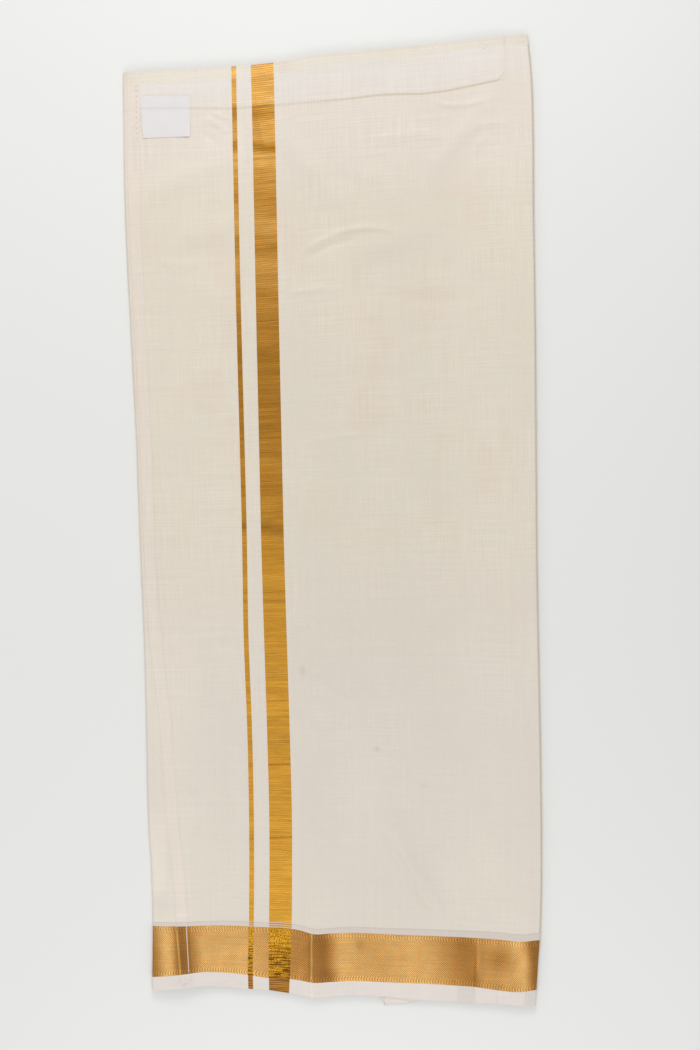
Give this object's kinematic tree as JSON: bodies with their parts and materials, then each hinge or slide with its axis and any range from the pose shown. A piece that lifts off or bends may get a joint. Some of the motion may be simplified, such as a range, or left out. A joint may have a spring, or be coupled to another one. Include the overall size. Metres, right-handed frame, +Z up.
{
  "type": "folded dhoti cloth",
  "caption": "Cream cotton dhoti folded lengthwise and laid flat, with gold stripes woven down it and a gold border above its hem.",
  "frame": {"origin": "middle of the folded cloth's outline, on the surface it lies on", "axes": "+X across the folded cloth towards the right-hand folds, +Y along it towards the waist edge, +Z up"},
  "size_m": [0.46, 1.0668, 0.0075],
  "materials": {
    "cream_cotton": "plain-woven sheer cotton, matte",
    "white_cotton": "white cotton tape and selvedge, matte",
    "gold_stripe": "gold metallic thread woven in, satin",
    "gold_border": "gold metallic twill, satin",
    "label_satin": "white satin ribbon, bare"
  },
  "bodies": {
    "root": {"folded_layers": "cream_cotton", "front_left": "cream_cotton", "front_between": "cream_cotton", "front_right": "cream_cotton", "waist_hem": "cream_cotton", "end_hem": "cream_cotton", "woven_line": "white_cotton", "hem_selvedge": "white_cotton", "waist_facing": "white_cotton", "stripe_narrow": "gold_stripe", "stripe_wide": "gold_stripe", "gold_border": "gold_border", "care_label": "label_satin"}
  },
  "joints": []
}
